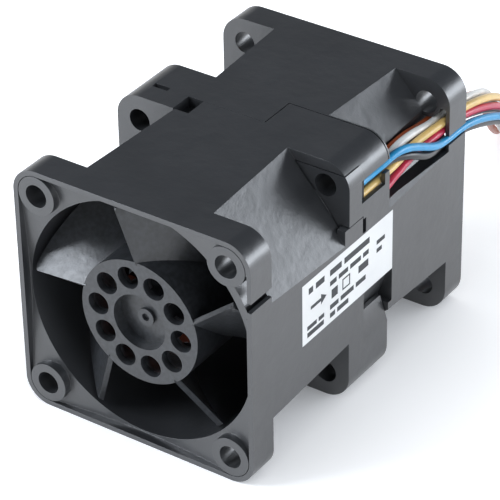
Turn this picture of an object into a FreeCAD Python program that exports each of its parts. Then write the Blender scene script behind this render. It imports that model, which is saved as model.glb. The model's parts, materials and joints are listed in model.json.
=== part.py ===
import FreeCAD, Part
import math
import os
import re

from FreeCAD import Placement, Rotation, Vector

# 40 mm counter-rotating fan: two frames locked back to back, each with its own motor and impeller.
# X runs across the inlet, Y along the airflow from the inlet at -Y, Z up. The origin is under the middle.

DRIVING_SIZES = {
    # frames
    "frame_width": 40.0,
    "front_depth": 28.3,
    "rear_depth": 27.7,
    "corner_radius": 4.0,
    "front_flange": 5.0,
    "rear_flange": 4.7,
    "hole_inset": 4.0,
    "hole_radius": 1.78,
    "boss_radius": 3.1,
    "side_wall": 1.05,
    "duct_wall": 1.45,
    "rim_width": 0.8,
    "flare_depth": 1.5,
    "flare_mouth": 7.8,
    "facet_at_flange": 1.2,
    "facet_at_middle": 0.1,
    "facet_angle": 40.0,
    "pad_edge": 10.2,
    "front_lug": 3.9,
    "rear_lug": 6.6,
    # the latches that hold the two frames together
    "tongue_thickness": 1.7,
    "tongue_left": 16.7,
    "tongue_length": 6.2,
    "arm_reach": 10.0,
    "arm_gap": 2.7,
    "mark_inset": 3.5,
    "mark_length": 2.7,
    "mark_width": 0.9,
    "mark_depth": 0.8,
    "block_low": 12.0,
    "hook_height": 12.4,
    "hook_length": 6.5,
    "hook_thickness": 2.2,
    "hook_wall": 0.45,
    "hook_chamfer": 1.3,
    "hook_land": 3.9,
    "catch_depth": 4.7,
    "catch_height": 2.1,
    "catch_thickness": 1.4,
    "latch_play": 0.15,
    "latch_root": 0.5,
    "keyhole_depth": 0.85,
    "keyhole_height": 2.4,
    "gap_top": 17.0,
    # the way of the lead wires
    "passage_wall": 0.6,
    "passage_low": 11.3,
    "passage_high": 4.4,
    "lead_wall": 0.65,
    "lead_boss": 2.4,
    "slit_low": 10.15,
    "slit_high": 8.65,
    "groove_edge": 4.7,
    "window_low": 7.5,
    "window_high": 3.8,
    "window_front": 0.7,
    "window_rear": 5.4,
    "lip_height": 1.8,
    # label
    "label_front": 12.4,
    "label_length": 23.5,
    "label_low": 3.0,
    "label_height": 10.1,
    "label_thickness": 0.1,
    # struts and motor base
    "strut_count": 4,
    "strut_thickness": 1.4,
    "strut_depth": 5.0,
    "wire_strut_angle": 32.0,
    "wire_strut_width": 7.0,
    "lead_diameter": 1.2,
    "board_lead_count": 4,
    "board_lead_pitch": 1.3,
    "base_wall": 0.8,
    "base_floor": 1.0,
    "base_depth": 5.6,
    # impellers
    "hub_radius": 9.94,
    "hub_setback": 1.42,
    "hub_face": 1.2,
    "hub_gap": 0.8,
    "vent_radius": 1.76,
    "vent_circle": 7.1,
    "vent_count": 10,
    "vent_angle": -4.4,
    "recess_radius": 4.44,
    "recess_depth": 2.0,
    "boss_floor": 1.6,
    "boss_wall": 0.8,
    "rotor_wall": 0.69,
    "nub_radius": 1.35,
    "nub_height": 0.5,
    "dimple_radius": 0.6,
    "front_blade_count": 5,
    "rear_blade_count": 4,
    "blade_setback": 1.5,
    "blade_length": 14.5,
    "blade_thickness": 0.9,
    "blade_camber": 1.1,
    "blade_round": 1.1,
    "tip_gap": 0.55,
    "root_lead": 20.9,
    "root_trail": -39.0,
    "tip_lead": 29.5,
    "tip_trail": -23.5,
    # motors
    "yoke_wall": 0.5,
    "eye_play": 0.4,
    "magnet_wall": 0.75,
    "magnet_gap": 4.2,
    "magnet_step": 0.6,
    "air_gap": 0.35,
    "core_inset": 2.0,
    "core_bore": 4.3,
    "core_ring": 0.9,
    "tooth_count": 6,
    "tooth_width": 2.0,
    "shoe_thickness": 0.7,
    "slot_mouth": 1.4,
    "insulator_thickness": 0.5,
    "coil_build": 0.9,
    "coil_overhang": 0.8,
    "pin_radius": 0.3,
    "board_thickness": 0.8,
    "board_radius": 8.6,
    "board_hole": 4.6,
    "post_radius": 0.5,
    "chip_size": 3.0,
    "chip_height": 0.9,
    "sensor_size": 1.5,
    "sensor_height": 1.0,
    "bearing_radius": 3.5,
    "bearing_width": 3.0,
    "race_wall": 0.55,
    "ball_count": 7,
    "ball_play": 0.03,
    "near_bearing": 4.0,
    "shaft_radius": 1.5,
    "shaft_start": 2.6,
    "clip_start": 3.3,
    "clip_thickness": 0.5,
    "clip_radius": 2.4,
    "clip_bite": 0.15,
    "spring_length": 1.5,
    "spring_wire": 0.3,
    "spring_play": 0.15,
    # lead guide and connectors
    "guide_start": 2.3,
    "guide_play": 0.05,
    "guide_end": 0.9,
    "guide_top": 4.6,
    "guide_low": 11.25,
    "connector_pitch": 2.0,
    "connector_ways": 4,
    "connector_side": 1.3,
    "connector_height": 4.4,
    "connector_length": 8.0,
    "connector_depth": 3.5,
    "connector_well": 1.1,
    "rib_width": 0.8,
    "rib_height": 0.5,
}

doc = FreeCAD.newDocument("CoolingFan")
sheet = doc.addObject("Spreadsheet::Sheet", "Sizes")
for row, (alias, number) in enumerate(DRIVING_SIZES.items(), start=1):
    sheet.set(f"A{row}", alias)
    sheet.set(f"B{row}", str(number))
    sheet.setAlias(f"B{row}", alias)
doc.recompute()

# Formulas of sizes that many pieces share, as text for the expressions.
HALF = "frame_width / 2"
SEAM = "(front_depth - rear_depth) / 2"
HOLE = "(frame_width / 2 - hole_inset)"
DUCT = "(frame_width / 2 - side_wall)"
TUBE = "(frame_width / 2 - side_wall + duct_wall)"
ALONG_Y = Rotation(Vector(1, 0, 0), -90)
MARGIN = "1"
DEPTH = {"front": "front_depth", "rear": "rear_depth"}
# Where the board leads leave the duct wall: at the lead guide, or in the way of the lead wires.
MOUTH = {"front": TUBE, "rear": f"({DUCT} + passage_wall)"}


def size(alias):
    """Read one driving size from the sheet."""
    return float(sheet.get(alias))


def formula(text):
    """Spell a formula of size names the way a spreadsheet expression wants it."""
    return re.sub(r"[a-z_]+", lambda m: f"Sizes.{m[0]}" if m[0] in DRIVING_SIZES else m[0], str(text))


def bind(target, **formulas):
    """Bind properties to formulas; x, y and z are the parts of the placement's base."""
    for name, text in formulas.items():
        path = f"Placement.Base.{name}" if name in "xyz" else name
        target.setExpression(path, formula(text))
    return target


def cylinder(radius, start, length, x="0", z=HALF):
    """A cylinder along Y."""
    solid = doc.addObject("Part::Cylinder", "Cylinder")
    solid.Placement = Placement(Vector(), ALONG_Y)
    return bind(solid, Radius=radius, Height=length, x=x, y=start, z=z)


def cone(radius_start, radius_end, start, length):
    """A cone along Y about the fan's axis."""
    solid = doc.addObject("Part::Cone", "Cone")
    solid.Placement = Placement(Vector(), ALONG_Y)
    return bind(solid, Radius1=radius_start, Radius2=radius_end, Height=length, x="0", y=start, z=HALF)


def box(low, high):
    """A box between two corners, each three formulas."""
    solid = doc.addObject("Part::Box", "Box")
    sides = [f"({b}) - ({a})" for a, b in zip(low, high)]
    return bind(solid, Length=sides[0], Width=sides[1], Height=sides[2], x=low[0], y=low[1], z=low[2])


def spoke(inner, outer, start, length, width, angle):
    """A box that stands out from the axis, between two radii, at an angle from +X towards +Z."""
    solid = doc.addObject("Part::Box", "Spoke")
    solid.Placement = Placement(Vector(), Rotation(Vector(0, -1, 0), 1))
    bind(solid, Length=f"({outer}) - ({inner})", Width=length, Height=width)
    solid.setExpression("Placement.Rotation.Angle", formula(angle))
    return bind(
        solid,
        x=f"({inner}) * cos({angle}) + ({width}) / 2 * sin({angle})",
        y=start,
        z=f"{HALF} + ({inner}) * sin({angle}) - ({width}) / 2 * cos({angle})",
    )


def fuse(*solids, refine=True):
    """The union of solids, as one object; refine joins faces that lie in one plane."""
    union = doc.addObject("Part::MultiFuse", "Union")
    union.Shapes = list(solids)
    union.Refine = refine
    return union


def group(*solids):
    """Solids that stay separate in one node."""
    kept = doc.addObject("Part::Compound", "Group")
    kept.Links = list(solids)
    return kept


def common(*solids):
    """What all the solids share."""
    shared = doc.addObject("Part::MultiCommon", "Common")
    shared.Shapes = list(solids)
    return shared


def cut(base, *tools, refine=True):
    """The base without the tools."""
    rest = base
    for tool in tools:
        step = doc.addObject("Part::Cut", "Cut")
        step.Base, step.Tool = rest, tool
        step.Refine = refine and tool is tools[-1]
        rest = step
    return rest


def span(side, near, far):
    """Start and length along Y of a stretch given by its distances from the seam of the two frames."""
    start = f"{SEAM} - ({far})" if side == "front" else f"{SEAM} + ({near})"
    return start, f"({far}) - ({near})"


def ring(side, near, far, outer, inner):
    """A tube about the fan's axis."""
    bore = span(side, f"({near}) - {MARGIN}", f"({far}) + {MARGIN}")
    return cut(cylinder(outer, *span(side, near, far)), cylinder(inner, *bore))


def at_angle(circle, angle):
    """Formulas for x and z of a point on a circle about the fan's axis."""
    return {"x": f"({circle}) * cos({angle})", "z": f"{HALF} + ({circle}) * sin({angle})"}


def rounded_square(half, corner, start, length):
    """A square plate with round corners, about the fan's axis."""
    inset = f"(({half}) - ({corner}))"
    end = f"({start}) + ({length})"
    slabs = [
        box((f"-({half})", start, f"{HALF} - {inset}"), (half, end, f"{HALF} + {inset}")),
        box((f"-{inset}", start, f"{HALF} - ({half})"), (inset, end, f"{HALF} + ({half})")),
    ]
    corners = [
        cylinder(corner, start, length, f"{a} * {inset}", f"{HALF} + {b} * {inset}")
        for a in (-1, 1)
        for b in (-1, 1)
    ]
    return fuse(*slabs, *corners)


def corner_holes(radius, start, length):
    """Four cylinders on the screw pattern."""
    return [
        cylinder(radius, start, length, f"{a} * {HOLE}", f"{HALF} + {b} * {HOLE}")
        for a in (-1, 1)
        for b in (-1, 1)
    ]


def facet(side, angle):
    """A long block whose inner face is one of the slanted corners of the body, closer in at the middle."""
    wedge = doc.addObject("Part::Wedge", "Facet")
    wedge.Placement = Placement(Vector(), Rotation(Vector(0, -1, 0), 1))
    wedge.setExpression("Placement.Rotation.Angle", formula(angle))
    ends = ("facet_at_flange", "facet_at_middle")
    if side == "rear":
        ends = ends[::-1]
    start, length = span(side, "0", DEPTH[side])
    near = [f"{HALF} + {end}" for end in ends]
    bind(wedge, Xmin=near[0], Xmax="frame_width", X2min=near[1], X2max="frame_width")
    bind(wedge, Zmin=f"-{HALF}", Zmax=HALF, Z2min=f"-{HALF}", Z2max=HALF, Ymin="0", Ymax=length)
    return bind(wedge, x="0", y=start, z=HALF)


def faceted_body(side):
    """The square body with its four corners cut back."""
    start, length = span(side, "0", DEPTH[side])
    square = box((f"-{HALF}", start, "0"), (HALF, f"{start} + {length}", "frame_width"))
    angles = ("facet_angle", "180 - facet_angle", "270 - facet_angle", "270 + facet_angle")
    return cut(square, *[facet(side, angle) for angle in angles], refine=False)


def lead_passage(start, length, wall, boss):
    """The way for the leads beside the duct, under the upper right screw hole."""
    end = f"({start}) + ({length})"
    room = box(
        ("frame_width / 2 - groove_edge", start, "frame_width - passage_low"),
        (f"{HALF} - lead_wall", end, "frame_width - passage_high"),
    )
    duct = cylinder(f"{DUCT} + {wall}", start, length)
    screw = cylinder(boss, start, length, HOLE, f"{HALF} + {HOLE}")
    return cut(room, duct, screw)


def slit(start, length):
    """The slit that opens the passage to the side of a flange."""
    end = f"({start}) + ({length})"
    return box(
        (f"{HALF} - lead_wall - 0.5", start, "frame_width - slit_low"),
        (f"{HALF} + {MARGIN}", end, "frame_width - slit_high"),
    )


def flare(side):
    """The shallow recess between the rim of the flange and the duct."""
    depth = DEPTH[side]
    start, length = span(side, f"{depth} - flare_depth", depth)
    narrow, wide = f"{DUCT} + 0.2", "frame_width / 2 + flare_mouth"
    dish = cone(wide, narrow, start, length) if side == "front" else cone(narrow, wide, start, length)
    inside = rounded_square(f"{HALF} - rim_width", "corner_radius - rim_width", start, length)
    return cut(common(dish, inside), *corner_holes("boss_radius", start, length))


def motor_seat(side):
    """The motor's base with its rim and board posts, and the struts that carry it."""
    floor = cylinder("hub_radius", *span(side, "0", "base_floor"))
    rim = ring(side, "0", "base_depth", "hub_radius", "hub_radius - base_wall")
    reach = f"{DUCT} + passage_wall / 2"
    struts = [
        spoke(
            "hub_radius - base_wall / 2",
            reach,
            *span(side, "0", "strut_depth"),
            "strut_thickness",
            f"wire_strut_angle + {k} * 360 / strut_count",
        )
        for k in range(1, int(size("strut_count")))
    ]
    struts.append(
        spoke(
            "hub_radius - base_wall / 2",
            reach,
            *span(side, "0", "strut_depth"),
            "wire_strut_width",
            "wire_strut_angle",
        )
    )
    posts = [
        cylinder(
            "post_radius",
            *span(side, "base_floor / 2", "base_floor + lead_diameter"),
            **at_angle("board_radius - 2 * post_radius", f"wire_strut_angle + {angle}"),
        )
        for angle in (90, 180, 270)
    ]
    return [floor, rim, *struts, *posts]


def trough(side):
    """The channel for the board leads, from the motor's base out through the duct wall."""
    width = "board_lead_count * board_lead_pitch + 0.1"
    return spoke(
        "board_hole + 2",
        f"{TUBE} + {MARGIN}",
        *span(side, "base_floor", "base_floor + lead_diameter + 0.1"),
        width,
        "wire_strut_angle",
    )


def label_recess():
    """The shallow place of the label in the right wall."""
    front = f"{SEAM} - front_depth + label_front"
    return box(
        (f"{HALF} - label_thickness", front, f"{HALF} - label_low"),
        (f"{HALF} + {MARGIN}", f"{front} + label_length", f"{HALF} - label_low + label_height"),
    )


def corner_block(play):
    """The corner beside the front frame's duct that belongs to the rear frame, grown by the play."""
    start, length = f"{SEAM} - front_lug - {play}", f"front_lug + {play}"
    zone = box(
        (f"frame_width / 2 - pad_edge - {play}", start, f"frame_width - block_low - {play}"),
        (f"{HALF} + {MARGIN}", f"{start} + {length}", f"frame_width - tongue_thickness + {play}"),
    )
    duct = cylinder(f"{TUBE} + latch_play - {play}", start, length)
    return cut(zone, duct)


def top_arm(play):
    """The arm on the upper left corner that belongs to the rear frame, grown by the play."""
    return box(
        (f"-{HALF} - {MARGIN}", f"{SEAM} - front_lug - {play}", f"frame_width - tongue_thickness - {play}"),
        (f"arm_reach - frame_width / 2 + {play}", SEAM, f"frame_width + {MARGIN}"),
    )


def arm_gap():
    """The place that stays open beside the end of the top arm."""
    end = "arm_reach - frame_width / 2"
    return box(
        (end, f"{SEAM} - front_lug", "frame_width - tongue_thickness"),
        (f"{end} + arm_gap", SEAM, f"frame_width + {MARGIN}"),
    )


def arm_mark():
    """The small blind slot in the top of the arm."""
    end = "arm_reach - frame_width / 2 - mark_inset"
    return box(
        (f"{end} - mark_length", f"{SEAM} - mark_width / 2", "frame_width - mark_depth"),
        (end, f"{SEAM} + mark_width / 2", f"frame_width + {MARGIN}"),
    )


def tongue(play):
    """The front frame's tongue over the upper right corner behind the seam, grown by the play."""
    end = f"{SEAM} + tongue_length + {play}"
    low = f"frame_width - tongue_thickness - {play}"
    top = box(
        (f"frame_width / 2 - tongue_left - {play}", f"{SEAM} - latch_root", low),
        (f"{HALF} + {MARGIN}", end, f"frame_width + {MARGIN}"),
    )
    skirt = box(
        (f"{HALF} - tongue_thickness / 2 - {play}", SEAM, "frame_width - window_high"),
        (f"{HALF} + {MARGIN}", end, f"frame_width + {MARGIN}"),
    )
    return fuse(top, skirt)


def side_hook(play):
    """The front frame's hook on the lower right corner behind the seam, grown by the play."""
    start, end = f"{SEAM} - latch_root", f"{SEAM} + hook_length + {play}"
    bar = box(
        (f"{HALF} - hook_thickness - {play}", start, f"-{MARGIN}"),
        (f"{HALF} + {MARGIN}", end, f"hook_height + {play}"),
    )
    return cut(bar, cylinder(f"{DUCT} + hook_wall + latch_play - {play}", start, f"{end} - ({start})"))


def catch(play):
    """The small catch of the front frame beside the corner block, with its root, grown by the play."""
    low = f"frame_width - block_low - latch_root - {play}"
    return box(
        (f"{HALF} - catch_thickness - {play}", f"{SEAM} - catch_depth - 0.3", low),
        (f"{HALF} + {MARGIN}", f"{SEAM} - 0.4 + {play}", f"{low} + latch_root + catch_height + 2 * {play}"),
    )


def keyhole():
    """The small opening above the label, behind the catch."""
    low = f"frame_width - block_low - 0.7"
    return box(
        (f"{HALF} - catch_thickness", f"{SEAM} - 0.4", low),
        (f"{HALF} + {MARGIN}", f"{SEAM} - 0.4 + keyhole_depth", f"{low} + keyhole_height"),
    )


def hook_slope():
    """The wedge that comes off the outer edge of the side hook."""
    slope = doc.addObject("Part::Box", "HookSlope")
    slope.Placement = Placement(Vector(), Rotation(Vector(0, -1, 0), 1))
    slope.setExpression("Placement.Rotation.Angle", formula("atan(hook_chamfer / hook_land)"))
    bind(slope, Length="hook_thickness + 1", Width="hook_length + 1", Height="2 * hook_land")
    return bind(slope, x=HALF, y=SEAM, z="hook_height - hook_land")


def front_frame():
    """The inlet half of the housing."""
    inside, outside = "front_depth - front_flange", f"front_depth + {MARGIN}"
    plates = [
        faceted_body("front"),
        rounded_square(HALF, "corner_radius", *span("front", inside, "front_depth")),
        rounded_square(HALF, "corner_radius", *span("front", "0", "front_lug")),
    ]
    shell = cut(
        fuse(*plates),
        cylinder(DUCT, *span("front", f"-{MARGIN}", outside)),
        flare("front"),
        *corner_holes("hole_radius", *span("front", inside, outside)),
        *corner_holes("hole_radius", *span("front", f"-{MARGIN}", "front_lug")),
        lead_passage(*span("front", inside, outside), "1.55", "boss_radius"),
        slit(*span("front", inside, outside)),
        corner_block("latch_play"),
        top_arm("0"),
        arm_gap(),
        refine=False,
    )
    behind = rounded_square(HALF, "corner_radius", *span("rear", f"-{MARGIN}", "rear_lug"))
    latches = common(behind, fuse(tongue("0"), cut(side_hook("0"), hook_slope())))
    edge = rounded_square(HALF, "corner_radius", *span("front", "0", "front_depth"))
    latches = cut(latches, *corner_holes("hole_radius", *span("rear", f"-{MARGIN}", "rear_lug + 1")))
    whole = fuse(shell, latches, common(catch("0"), edge), fuse(*motor_seat("front")), refine=False)
    return cut(whole, trough("front"), label_recess(), keyhole(), refine=False)


def rear_frame():
    """The outlet half of the housing."""
    inside, outside = "rear_depth - rear_flange", f"rear_depth + {MARGIN}"
    plates = [
        faceted_body("rear"),
        rounded_square(HALF, "corner_radius", *span("rear", inside, "rear_depth")),
        rounded_square(HALF, "corner_radius", *span("rear", "0", "rear_lug")),
    ]
    groove = cut(
        box(
            ("frame_width / 2 - groove_edge", SEAM, "frame_width - passage_low + 0.1"),
            (f"{HALF} + {MARGIN}", f"{SEAM} + {inside}", f"frame_width + {MARGIN}"),
        ),
        cylinder(f"{DUCT} + passage_wall", *span("rear", "0", inside)),
        box(
            (f"frame_width / 2 - groove_edge - {MARGIN}", SEAM, "frame_width - passage_low"),
            (f"{HALF} + 2", f"{SEAM} + rear_lug", f"frame_width + 2"),
        ),
    )
    shell = cut(
        fuse(*plates),
        cylinder(DUCT, *span("rear", f"-{MARGIN}", outside)),
        flare("rear"),
        *corner_holes("hole_radius", *span("rear", inside, outside)),
        *corner_holes("hole_radius", *span("rear", f"-{MARGIN}", "rear_lug")),
        groove,
        lead_passage(*span("rear", "0", outside), "passage_wall", "lead_boss"),
        slit(*span("rear", inside, outside)),
        tongue("latch_play"),
        side_hook("latch_play"),
        gap_under_label(),
        window(),
    )
    ahead = rounded_square(HALF, "corner_radius", *span("front", f"-{MARGIN}", "front_lug"))
    block = cut(
        corner_block("0"),
        lead_passage(f"{SEAM} - guide_start", f"guide_start + {MARGIN}", "passage_wall", "lead_boss"),
        catch("latch_play"),
        window(),
    )
    forward = common(ahead, fuse(block, top_arm("0")))
    forward = cut(forward, *corner_holes("hole_radius", *span("front", f"-{MARGIN}", "front_lug + 1")))
    whole = fuse(fuse(shell, forward), fuse(*motor_seat("rear")))
    return cut(whole, trough("rear"), label_recess(), keyhole(), arm_mark(), refine=False)


def gap_under_label():
    """The gap above the side hook, where the rear frame has no lug."""
    length = f"rear_lug + {MARGIN}"
    gap = box(
        (f"{HALF} - hook_thickness - latch_play", SEAM, "hook_height - 1"),
        (f"{HALF} + {MARGIN}", f"{SEAM} + {length}", "gap_top"),
    )
    return cut(gap, cylinder(f"{DUCT} + hook_wall", SEAM, length))


def window():
    """The window in the right wall for the leads, with the lower lip at its rear end."""
    low, high = f"{HALF} - lead_wall - 0.75", f"{HALF} + {MARGIN}"
    rear, top = f"{SEAM} + window_rear", "frame_width - window_high"
    return fuse(
        box((low, f"{SEAM} - window_front", "frame_width - window_low"), (high, rear, top)),
        box(
            (low, rear, "frame_width - window_low + lip_height"),
            (high, f"{SEAM} + rear_lug + {MARGIN}", top),
        ),
    )


def label():
    """The printed label on the right wall, flush in its recess."""
    front = f"{SEAM} - front_depth + label_front"
    return box(
        (f"{HALF} - label_thickness", front, f"{HALF} - label_low"),
        (HALF, f"{front} + label_length", f"{HALF} - label_low + label_height"),
    )


def vents(side, near, far, radius):
    """The ring of holes in the hub's face."""
    return [
        cylinder(
            radius, *span(side, near, far), **at_angle("vent_circle", f"vent_angle + {k} * 360 / vent_count")
        )
        for k in range(int(size("vent_count")))
    ]


def blade_section(side, spread, lead, trail):
    """One closed section of a blade on a plane square to the blade's middle radius."""
    face = size("blade_setback")
    thick, camber = size("blade_thickness") / 2, size("blade_camber")
    first, last = Vector(lead, 0, face), Vector(trail, 0, face + size("blade_length"))
    bow = -camber if side == "front" else camber
    middle = (first + last) * 0.5 + Vector(bow, 0, 0)
    across = Vector(last.z - first.z, 0, first.x - last.x).normalize() * thick
    sides = [Part.Arc(first + s * across, middle + s * across, last + s * across).toShape() for s in (1, -1)]
    ends = [Part.LineSegment(p + across, p - across).toShape() for p in (first, last)]
    wire = Part.Wire([sides[0], ends[1], sides[1], ends[0]])
    wire.transformShape(Placement(Vector(0, spread, 0), Rotation()).toMatrix())
    return wire


def blades(side):
    """All the blades of one impeller, each lofted between two sections and trimmed to the hub and tip."""
    face = size(DEPTH[side])
    seam = (size("front_depth") - size("rear_depth")) / 2
    out = 1 if side == "rear" else -1
    root, tip = size("hub_radius"), size("frame_width") / 2 - size("side_wall") - size("tip_gap")
    names = ("root_lead", "root_trail", "tip_lead", "tip_trail")
    angles = {name: math.radians(size(name)) for name in names}
    middle = (angles["root_lead"] + angles["tip_trail"]) / 2

    def edge_at(distance, kind):
        """Sideways place of an edge line at a distance along the blade's middle radius."""
        (r0, a0), (r1, a1) = (root, angles[f"root_{kind}"] - middle), (tip, angles[f"tip_{kind}"] - middle)
        share = (distance - r0 * math.cos(a0)) / (r1 * math.cos(a1) - r0 * math.cos(a0))
        return r0 * math.sin(a0) + share * (r1 * math.sin(a1) - r0 * math.sin(a0))

    inner, outer = root * 0.62, tip + 1
    sections = [blade_section(side, d, edge_at(d, "lead"), edge_at(d, "trail")) for d in (inner, outer)]
    blank = Part.makeLoft(sections, True, True)
    # Section axes: X sideways, Y outward, Z from the face inward.
    turn = Placement(Vector(), Rotation(Vector(0, 0, 1), Vector(1, 0, 0), Vector(0, 1, 0), "ZXY"))
    blank.transformShape(turn.toMatrix())
    if side == "rear":
        blank = blank.mirror(Vector(), Vector(0, 1, 0))
    centre = Vector(0, seam + out * face, size("frame_width") / 2)
    hub_wall = size("hub_radius") - size("rotor_wall") / 2
    inmost, outward = Vector(0, -out * face, 0), Vector(0, out, 0)
    reach = face - size("blade_setback") + size("blade_thickness") / 2
    swept = Part.makeCylinder(tip, reach, inmost, outward)
    leading = [edge for edge in swept.Edges if edge.CenterOfMass.y * out > (reach - face) - 0.001]
    swept = swept.makeFillet(size("blade_round"), leading)
    blade = blank.common(swept.cut(Part.makeCylinder(hub_wall, face, inmost, outward)))
    count = int(size(f"{side}_blade_count"))
    made = []
    for k in range(count):
        copy = blade.copy()
        copy.rotate(Vector(), Vector(0, -1, 0), math.degrees(middle) + k * 360 / count)
        copy.translate(centre)
        made.append(copy)
    feature = doc.addObject("Part::Feature", "Blades")
    feature.Shape = Part.makeCompound(made)
    return feature


def impeller(side):
    """The moulded impeller: hub with its vents and central recess, and the blades."""
    depth = DEPTH[side]
    face = f"({depth} - hub_setback)"
    cup = cylinder("hub_radius", *span(side, "base_depth + hub_gap", face))
    hollow = cylinder("hub_radius - rotor_wall", *span(side, "base_depth - 1", f"{face} - hub_face"))
    boss_end = f"{face} - recess_depth - boss_floor"
    boss = cylinder("recess_radius + boss_wall", *span(side, boss_end, f"{face} - hub_face / 2"))
    recess = cylinder("recess_radius", *span(side, f"{face} - recess_depth", f"{face} + 1"))
    hub = cut(
        fuse(cut(cup, hollow), boss),
        recess,
        *vents(side, f"{face} - recess_depth - boss_floor - 1", f"{face} + 1", "vent_radius"),
    )
    floor = f"{face} - recess_depth"
    nub = cut(
        cylinder("nub_radius", *span(side, f"{floor} - 0.5", f"{floor} + nub_height")),
        cylinder("dimple_radius", *span(side, floor, f"{floor} + nub_height + 1")),
    )
    socket = cylinder("shaft_radius", *span(side, f"{boss_end} - 1", f"{boss_end} + boss_floor * 0.7"))
    return cut(fuse(hub, nub, blades(side), refine=False), socket, refine=False)


def yoke(side):
    """The steel cup inside the hub."""
    inner_face = f"({DEPTH[side]} - hub_setback - hub_face)"
    outer = "hub_radius - rotor_wall"
    cup = cylinder(outer, *span(side, "base_depth + hub_gap + magnet_step / 2", inner_face))
    hollow = cylinder(f"{outer} - yoke_wall", *span(side, "base_depth - 1", f"{inner_face} - yoke_wall"))
    near, far = f"{inner_face} - 2", f"{inner_face} + 1"
    eye = cylinder("recess_radius + boss_wall + eye_play", *span(side, near, far))
    return cut(cup, hollow, eye, *vents(side, near, far, "vent_radius"))


MAGNET_NEAR = "(base_depth + hub_gap + magnet_step)"
MAGNET_FAR = {
    side: f"({DEPTH[side]} - hub_setback - hub_face - yoke_wall - magnet_gap)" for side in DEPTH
}


def magnet(side):
    """The ring magnet inside the yoke."""
    outer = "(hub_radius - rotor_wall - yoke_wall)"
    return ring(side, MAGNET_NEAR, MAGNET_FAR[side], outer, f"{outer} - magnet_wall")


BORE = "(hub_radius - rotor_wall - yoke_wall - magnet_wall - air_gap)"
CORE_NEAR = f"({MAGNET_NEAR} + core_inset)"
CORE_FAR = {side: f"({MAGNET_FAR[side]} - core_inset)" for side in DEPTH}
BOSS_END = {side: f"({DEPTH[side]} - hub_setback - recess_depth - boss_floor)" for side in DEPTH}


def stator_core(side):
    """The laminated core: a ring with teeth that end in wide shoes."""
    start, length = span(side, CORE_NEAR, CORE_FAR[side])
    ring_part = cylinder("core_bore + core_ring", start, length)
    teeth = [
        spoke("core_bore + core_ring / 2", f"{BORE} - 0.05", start, length, "tooth_width", tooth_angle(k))
        for k in range(int(size("tooth_count")))
    ]
    reach = f"{BORE} + {MARGIN}"
    mouths = [
        spoke("core_bore", reach, start, length, "slot_mouth", f"{tooth_angle(k)} + 180 / tooth_count")
        for k in range(int(size("tooth_count")))
    ]
    shoes = cut(cylinder(BORE, start, length), cylinder(f"{BORE} - shoe_thickness", start, length), *mouths)
    bore = cylinder("core_bore", *span(side, f"{CORE_NEAR} - 1", f"{CORE_FAR[side]} + 1"))
    return cut(fuse(ring_part, *teeth, shoes), bore)


def tooth_angle(k):
    """Formula of the angle of a tooth."""
    return f"{k} * 360 / tooth_count"


def insulators(side):
    """The moulded end plates of the core, and the pins that carry the winding's ends to the board."""
    plates = []
    for near in (f"{CORE_NEAR} - insulator_thickness", CORE_FAR[side]):
        start, length = span(side, near, f"{near} + insulator_thickness")
        inner, outer = "core_bore + 0.1", f"{BORE} - shoe_thickness / 2"
        spokes = [
            spoke(inner, outer, start, length, "tooth_width", tooth_angle(k))
            for k in range(int(size("tooth_count")))
        ]
        plate = fuse(cylinder("core_bore + core_ring", start, length), *spokes)
        plates.append(cut(plate, cylinder("core_bore", *span(side, f"{near} - 1", f"{near} + 2"))))
    board_top = "base_floor + lead_diameter + board_thickness"
    pins = [
        cylinder(
            "pin_radius",
            *span(side, board_top, f"{CORE_NEAR} - insulator_thickness / 2"),
            **at_angle("core_bore + core_ring / 2 + pin_radius", f"{angle} + 180 / tooth_count"),
        )
        for angle in (0, 120, 240)
    ]
    return group(fuse(plates[0], *pins), plates[1])


def windings(side):
    """A copper coil round each tooth."""
    near, far = f"{CORE_NEAR} - insulator_thickness", f"{CORE_FAR[side]} + insulator_thickness"
    inner, outer = "core_bore + core_ring + 0.2", f"{BORE} - shoe_thickness"
    room = cylinder(f"{outer} - 0.1", *span(side, f"{near} - {MARGIN}", f"{far} + {MARGIN}"))
    coils = []
    for k in range(int(size("tooth_count"))):
        body = spoke(
            inner,
            outer,
            *span(side, f"{near} - coil_overhang", f"{far} + coil_overhang"),
            "tooth_width + 2 * coil_build",
            tooth_angle(k),
        )
        slot = spoke(
            f"{inner} - 1", f"{outer} + 1", *span(side, near, far), "tooth_width", tooth_angle(k)
        )
        coils.append(cut(common(body, room), slot))
    return group(*coils)


def circuit_board(side):
    """The round board on the base's posts."""
    near = "base_floor + lead_diameter"
    return ring(side, near, f"{near} + board_thickness", "board_radius", "board_hole")


def board_parts(side):
    """The driver chip and the magnet sensor on the board."""
    near = "base_floor + lead_diameter + board_thickness"
    chip = spoke(
        "(board_radius + board_hole) / 2 - chip_size / 2",
        "(board_radius + board_hole) / 2 + chip_size / 2",
        *span(side, near, f"{near} + chip_height"),
        "chip_size",
        "wire_strut_angle + 180",
    )
    sensor = spoke(
        "board_radius - sensor_size",
        "board_radius - 0.1",
        *span(side, near, f"{near} + sensor_height"),
        "sensor_size",
        "wire_strut_angle + 110",
    )
    return group(chip, sensor)


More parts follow.
